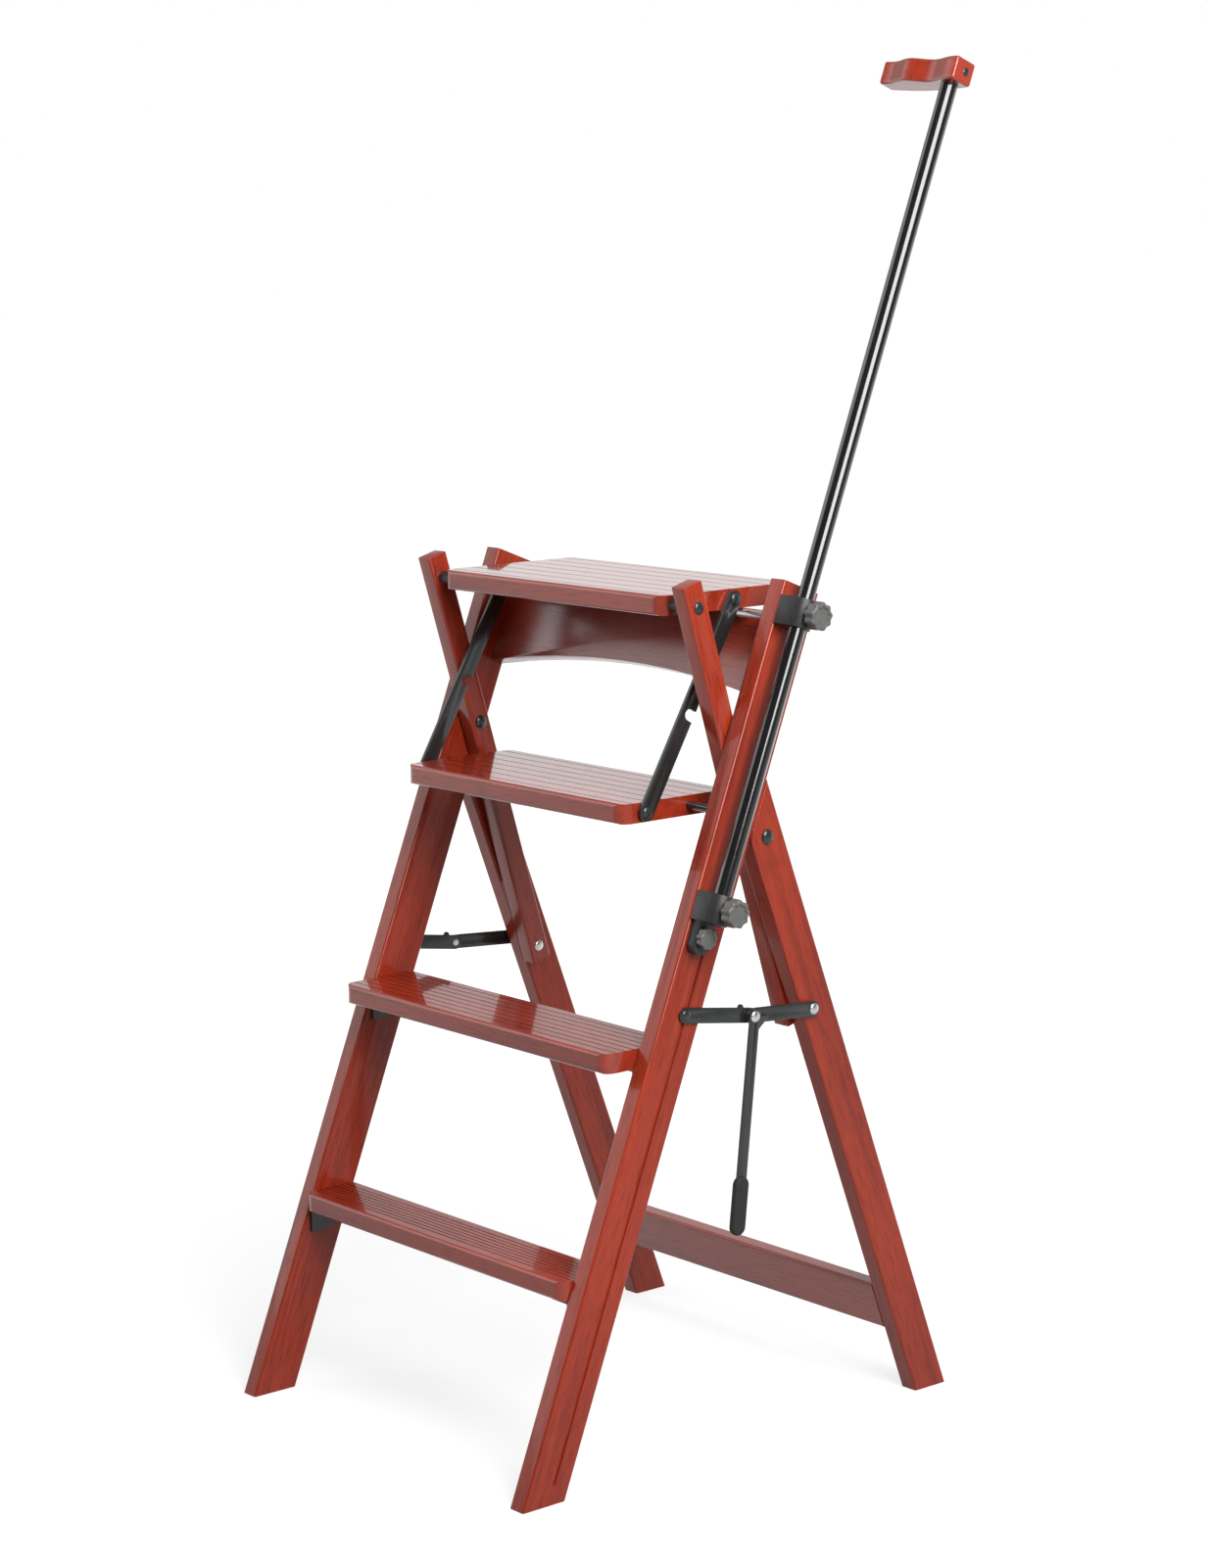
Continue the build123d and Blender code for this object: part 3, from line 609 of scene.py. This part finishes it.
# %% Sections of screws, bolts and rivets
inner_head = headed(arm_inner, bolt, -bolt_crown, bolt_head)[::-1]
link_rivet = blunt(tread_side + clearance, pin) + headed(link_outer, pin, pin_crown, pin_head)
rest_start = tread_side - rest_pin_reach
black_heads = {
    "fold_bolts": inner_head + collar(arm_outer, stile_inner - clearance, bolt_washer, bolt)
    + headed(stile_outer + clearance, bolt, bolt_crown, bolt_head),
    "arm_bolts": inner_head + collar(arm_outer, stile_inner, bolt_washer, bolt)
    + blunt(bolt_end, bolt)[::-1],
    "platform_hinge_pins": blunt(pin_start, pin) + headed(arm_outer + clearance, pin, pin_crown, pin_head),
    "platform_link_pins": blunt(pin_start, pin) + collar(tread_side, link_inner - clearance, pin_head, pin)
    + headed(link_outer + clearance, pin, pin_crown, pin_head),
    "link_rivet_right": link_rivet,
    "spreader_front_screws": blunt(screw_tip, screw)
    + headed(front_strap_outer + clearance, screw, screw_crown, screw_head),
    "grip_screw": [(grip_side, 0), *dome(grip_side, grip_screw_crown, grip_screw_head)],
    "link_rivet_left": link_rivet,
}
zinc_heads = {
    "spreader_rear_screws": blunt(screw_tip, screw)
    + collar(stile_outer, rear_strap_inner - clearance, screw_head, screw)
    + headed(rear_strap_outer + clearance, screw, screw_crown, screw_head),
    "spreader_rivet_right": blunt(rear_strap_inner, screw)
    + collar(rear_strap_outer, release_inner - clearance, screw_head, screw)
    + headed(release_outer + clearance, screw, screw_crown, screw_head),
    "spreader_rivet_left": blunt(rear_strap_inner, screw)
    + headed(rear_strap_outer + clearance, screw, screw_crown, screw_head),
    "arm_pad_screws": [*dome(arm_inner, -pad_screw_crown, screw_head)[::-1], (arm_inner, 0)],
    "platform_rest_pins": blunt(rest_start, rest_pin - rest_pin_chamfer)
    + [(rest_start + rest_pin_chamfer, rest_pin)] + blunt(bolt_end, rest_pin)[::-1],
}
print("sections:", len(black_heads) + len(zinc_heads))

# %% Screws, bolts and rivets


def fastener(node, section, slot, material):
    """A turned fastener on each side that its CAD node has one."""
    low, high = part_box(node)
    bm = bmesh.new()
    if low.x < middle:
        turned(bm, section, axis_of(node), -across)
    if high.x > middle:
        turned(bm, section, axis_of(node), across)
    finished(bm, f"turned_{node}", nodes[node]["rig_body"], slot, material, node)


for node, section in black_heads.items():
    fastener(node, section, "black_metal", black_paint)
for node, section in zinc_heads.items():
    fastener(node, section, "steel", zinc_plate)

# %% [markdown]
# ## Rivet ends inside the spreaders
# Each spreader's middle rivet is hammered flat inside its front strap, and shows there as a pale dot.
# It is a thin turned disc, because the folded strap lies close to the stile.

# %% Rivet ends
disc_radius, disc_chamfer, disc_bevel = 3.8, 0.4, 0.15
disc_gap, disc_overlap = 0.1, 0.05
disc_inner, disc_outer = stile_outer + disc_gap, front_strap_inner + disc_overlap
disc = blunt(disc_inner, disc_radius - disc_chamfer) + [(disc_inner + disc_bevel, disc_radius)]
disc += blunt(disc_outer, disc_radius)[::-1]
for side, outwards in (("right", across), ("left", -across)):
    bm = bmesh.new()
    turned(bm, disc, axis_of(f"spreader_rivet_{side}"), outwards)
    finished(bm, f"rivet_end_{side}", f"spreader_front_{side}", "steel", zinc_plate)

# %% [markdown]
# ## The pole
# The handrail is a drawn steel tube with black paint.
# Its section is the tube's wall, spun about the pole's own line.
# A spun tube has smooth shading, so the long highlight along it stays straight.

# %% Pole tube
pole_radius, pole_wall, pole_chamfer = 9.0, 1.5, 0.4
inside = pole_radius - pole_wall
low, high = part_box("pole_tube")
pole_x = (low.x + high.x) / 2
tilt = Vector((0, stile_lean.z, stile_lean.y)) * pole_radius * millimetre
pole_start = Vector((pole_x, low.y, low.z)) + tilt
pole_end = Vector((pole_x, high.y, high.z)) - tilt
pole_length = (pole_end - pole_start).length / millimetre
pole_section = [(0, inside), (0, pole_radius - pole_chamfer), (pole_chamfer, pole_radius),
                (pole_length, pole_radius), (pole_length, inside), (0, inside)]
bm = bmesh.new()
turned(bm, pole_section, pole_start, (pole_end - pole_start).normalized())
finished(bm, "turned_pole", "handrail", "black_metal", pole_paint, "pole_tube")
print("pole length:", round(pole_length), "mm")

# %% [markdown]
# ## Clamp knobs
# The clamps are tightened by hand, so their knobs are moulded with lobes for the fingers and a dished face.
# A circle whose radius waves gives the lobes. It is extruded, its rims are rounded and its face is drawn in.
# Drawing in scales the whole outline, because an even inset would cross itself between the lobes.

# %% Lobed head
points_per_lobe = 12
face_share, dish_share = 0.84, 0.9


def extruded(bm, face):
    """The new face and vertices of an extrusion that hasn't moved yet."""
    made = bmesh.ops.extrude_face_region(bm, geom=[face, *face.edges])["geom"]
    faces = [item for item in made if isinstance(item, bmesh.types.BMFace)]
    return faces[0], [item for item in made if isinstance(item, bmesh.types.BMVert)]


def rounded(bm, edges, width, segments, clamp_overlap=False):
    """Round edges by a width in millimetres."""
    bmesh.ops.bevel(bm, geom=edges, offset=width * millimetre, segments=segments, profile=0.5,
                    affect="EDGES", material=-1, clamp_overlap=clamp_overlap)


def lobed_head(bm, axis, start, end, radius, lobes, wave, rim, dish):
    """A knob's head with waved sides and a dished face, in millimetres from the ladder's middle."""
    base = Vector((middle + start * millimetre, axis.y, axis.z))
    turn = Matrix.Translation(base) @ Matrix.Rotation(pi / 2, 4, "Y")
    made = bmesh.ops.create_circle(bm, cap_ends=True, radius=(radius - wave) * millimetre,
                                   segments=points_per_lobe * lobes, matrix=turn)["verts"]
    for vert in made:
        out = vert.co - base
        vert.co += out.normalized() * wave * millimetre * cos(lobes * atan2(out.z, out.y))
    back = made[0].link_faces[0]
    face, moved = extruded(bm, back)
    bmesh.ops.translate(bm, verts=moved, vec=((end - start) * millimetre, 0, 0))
    rounded(bm, [*back.edges, *face.edges], rim, segments=3)
    face = max(bm.faces, key=lambda item: (round(item.calc_center_median().x, 6), len(item.verts)))
    for share, depth in ((face_share, 0), (dish_share, -dish)):
        face, moved = extruded(bm, face)
        bmesh.ops.scale(bm, vec=(1, share, share), space=Matrix.Translation(-base), verts=moved)
        bmesh.ops.translate(bm, vec=(depth * millimetre, 0, 0), verts=moved)


print("points in a lobe:", points_per_lobe)

# %% Pole knobs
knob_head_length, neck, neck_flare, neck_rise = 14, 6, 8, 1
knob_tip, knob_face = layer_of("pole_knob_upper")
knob_base = knob_face - knob_head_length
clamp_face = layer_of("pole_clamp_lower")[1] + clearance
knob_overlap = 0.2
knob_neck = blunt(knob_tip, screw) + collar(clamp_face, knob_base - neck_rise, neck, screw)[:-1]
knob_neck += blunt(knob_base + knob_overlap, neck_flare)[::-1]
for level in ("upper", "lower"):
    axis = axis_of(f"pole_knob_{level}")
    bm = bmesh.new()
    lobed_head(bm, axis, knob_base, knob_face, radius=15, lobes=9, wave=0.9, rim=2.2, dish=1.5)
    turned(bm, knob_neck, axis, across)
    finished(bm, f"lobed_knob_{level}", f"{level}_knob", "black_plastic", knob_plastic_painted_sheen, f"pole_knob_{level}")

# %% Lock knob
lock_head_length, lock_overlap = 8.7, 0.1
lock_tip, lock_face = layer_of("pole_lock_knob")
lock_base = lock_face - lock_head_length
axis = axis_of("pole_lock_knob")
bm = bmesh.new()
lobed_head(bm, axis, lock_base, lock_face, radius=11.5, lobes=9, wave=0.7, rim=1.5, dish=1.2)
turned(bm, blunt(lock_tip, screw) + blunt(lock_base + lock_overlap, screw)[::-1], axis, across)
finished(bm, "fluted_lock_knob", "lock_knob", "black_plastic", knob_plastic_painted_sheen, "pole_lock_knob")

# %% [markdown]
# ## Square-cut board ends
# The stiles and arms end in a plain saw cut across their length, a little above the platform.
# Each is copied from its CAD board. A plane cuts the end off, and the open end is closed and drawn out.
# Sides that run along the board stay flat when their end slides along it.
# A small bevel breaks the sawn edge.

# %% Copies of CAD pieces
flat_angle = radians(1)


def finish_of(node):
    """The material that a CAD piece was given above."""
    return nodes[node].data.materials[0]


def merged_copy(node):
    """A bmesh of a CAD piece with its loose triangles joined."""
    bm = bmesh.new()
    bm.from_mesh(nodes[node].data)
    bmesh.ops.remove_doubles(bm, verts=bm.verts, dist=merge_distance / 2)
    bmesh.ops.dissolve_limit(bm, angle_limit=flat_angle, verts=bm.verts, edges=bm.edges)
    return bm


print("triangles in a CAD stile:", len(nodes["stile_right"].data.polygons))

# %% Stile and arm ends
sawn_edge = 0.8
cut_tolerance = 0.001 * millimetre
stile_top, stile_cut_off = 975, 25
arm_top, arm_cut_off = 25.5, 15


def square_cut(node, start, run, top, cut_off):
    """A board whose upper end is square at a distance from a point, in millimetres."""
    bm = merged_copy(node)
    cut_place = start + run * (top - cut_off) * millimetre
    bmesh.ops.bisect_plane(bm, geom=bm.verts[:] + bm.edges[:] + bm.faces[:], dist=cut_tolerance,
                           plane_co=cut_place, plane_no=run, clear_outer=True)
    rim = [edge for edge in bm.edges if edge.is_boundary]
    end = bmesh.ops.holes_fill(bm, edges=rim, sides=0)["faces"][0]
    bmesh.ops.translate(bm, verts=end.verts, vec=run * cut_off * millimetre)
    rounded(bm, list(end.edges), sawn_edge, segments=2)
    finished(bm, f"square_{node}", nodes[node]["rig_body"], "wood", finish_of(node), node)


foot_line = Vector((0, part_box("stile_right")[0].y, 0))
for side in ("right", "left"):
    square_cut(f"stile_{side}", foot_line, stile_lean, stile_top, stile_cut_off)
    square_cut(f"arm_{side}", hinge_place, arm_lean.normalized(), arm_top, arm_cut_off)

# %% [markdown]
# ## Softened edges
# Sanded wood, moulded plastic and painted straps have no knife edges, and a rounded edge catches the light.
# Copies of the apron, the clamps and the flat bars get a bevel along every sharp edge.

# %% Softened copies
sharp_angle = radians(50)


def softened(node, slot, edge_width):
    """A copy of a CAD piece with a bevel along its sharp edges, in millimetres."""
    bm = merged_copy(node)
    sharp = [edge for edge in bm.edges if edge.calc_face_angle(0) > sharp_angle]
    rounded(bm, sharp, edge_width, segments=2, clamp_overlap=True)
    finished(bm, f"soft_{node}", nodes[node]["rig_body"], slot, finish_of(node), node)


wood_edge, moulded_edge, bar_edge, strap_edge = 0.8, 1.8, 0.6, 0.5
softened("apron", "wood", wood_edge)
for node in pole_clamps:
    softened(node, "black_plastic", moulded_edge)
for side in ("right", "left"):
    softened(f"link_bar_{side}", "black_metal", bar_edge)
    for end in ("front", "rear"):
        softened(f"spreader_{end}_{side}", "black_metal", strap_edge)
softened("release_bar", "black_metal", strap_edge)

# %% [markdown]
# Every piece should have a finish by now.
# Any piece that is shown without one is printed.

# %% Finish
bare = [name for name, piece in nodes.items() if not piece.hide_render and not piece.data.materials]
print("pieces without a finish:", bare)
